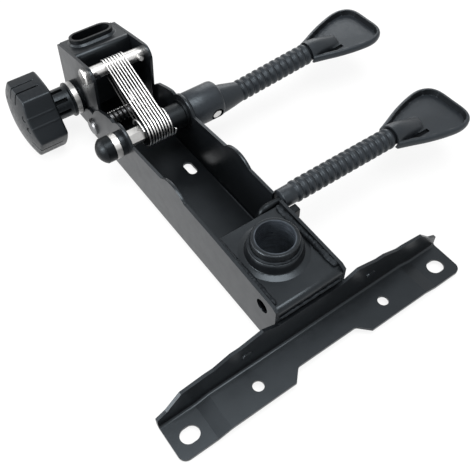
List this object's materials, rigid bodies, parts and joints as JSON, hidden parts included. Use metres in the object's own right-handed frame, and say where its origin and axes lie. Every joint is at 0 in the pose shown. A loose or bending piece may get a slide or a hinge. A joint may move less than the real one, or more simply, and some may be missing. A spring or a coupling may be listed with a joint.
{
  "type": "office chair tilt mechanism",
  "caption": "Office chair tilt mechanism lying on its seat face: black steel channel, front seat rail, gas lift socket, tilting back bar carrier, clamp knob, wire spring and two paddle levers.",
  "frame": {"origin": "axis of the gas lift socket, in the plane of the seat face", "axes": "+Z away from the seat, towards the gas lift; +X to the front of the chair; +Y to the lever side"},
  "size_m": [0.3559, 0.3652, 0.0866],
  "materials": {
    "black_paint": "semi-gloss black powder coat",
    "grey_black_plastic": "fine textured black nylon",
    "zinc_plated": "bright zinc plating",
    "spring_wire": "plated spring wire",
    "plain_steel": "oiled steel",
    "pad_brass": "turned brass"
  },
  "bodies": {
    "base": {"spine_channel": "black_paint", "socket_plate": "black_paint", "gas_lift_tube": "black_paint", "plate_weld_left": "black_paint", "plate_weld_right": "black_paint", "socket_weld": "black_paint", "front_rail": "black_paint", "pivot_pin": "zinc_plated", "rod_collar": "grey_black_plastic", "rod_bush": "plain_steel", "spring_core": "plain_steel", "tilt_spring": "spring_wire", "pivot_spring": "spring_wire", "lever_lug": "black_paint"},
    "carrier": {"cheek_left": "black_paint", "cheek_right": "black_paint", "carrier_plate": "black_paint", "bar_sleeve": "black_paint", "bar_liner": "grey_black_plastic", "hook_pin": "zinc_plated", "pin_dowel_left": "zinc_plated", "pin_dowel_right": "zinc_plated", "pivot_bush_left": "plain_steel", "pivot_bush_right": "plain_steel", "clutch_disc": "zinc_plated", "stud_nut": "zinc_plated"},
    "clamp": {"clamp_pad": "pad_brass"},
    "knob": {"knob_stud": "zinc_plated", "knob_ring": "zinc_plated", "knob_hub": "grey_black_plastic", "knob_body": "grey_black_plastic"},
    "tilt_lever": {"spring_rod": "plain_steel", "rod_washer": "zinc_plated", "rod_cap": "grey_black_plastic", "tilt_lever_screw": "zinc_plated", "tilt_lever_grip": "grey_black_plastic", "tilt_lever_paddle": "grey_black_plastic"},
    "lift_lever": {"lift_lever_rod": "plain_steel", "lift_lever_grip": "grey_black_plastic", "lift_lever_paddle": "grey_black_plastic"}
  },
  "joints": [
    {"name": "carrier_tilt", "type": "hinge", "parent": "base", "child": "carrier", "pos_m": [-0.2212, 0, 0.0165], "axis": [0, 1, 0], "range_deg": [0, 16], "stiffness_Nm_per_rad": 15, "springref_deg": -8.59, "deforming": ["tilt_spring"]},
    {"name": "clamp_slide", "type": "slide", "parent": "carrier", "child": "clamp", "axis": [0, 1, 0], "range_m": [-0.0015, 0]},
    {"name": "knob_turn", "type": "hinge", "parent": "clamp", "child": "knob", "pos_m": [-0.2503, 0, 0.0305], "axis": [0, 1, 0], "range_deg": [-360, 0]},
    {"name": "tilt_lever_turn", "type": "hinge", "parent": "base", "child": "tilt_lever", "pos_m": [-0.1625, 0, 0.043], "axis": [0, 1, 0], "range_deg": [-25, 25]},
    {"name": "lift_lever_pull", "type": "hinge", "parent": "base", "child": "lift_lever", "pos_m": [-0.0354, 0.02955, 0.0472], "axis": [1, 0, 0], "range_deg": [-8, 0], "stiffness_Nm_per_rad": 1.2, "springref_deg": 6.88}
  ],
  "couplings": [
    {"joint": "clamp_slide", "follows": "knob_turn", "m_per_rad": 0.00023873}
  ]
}
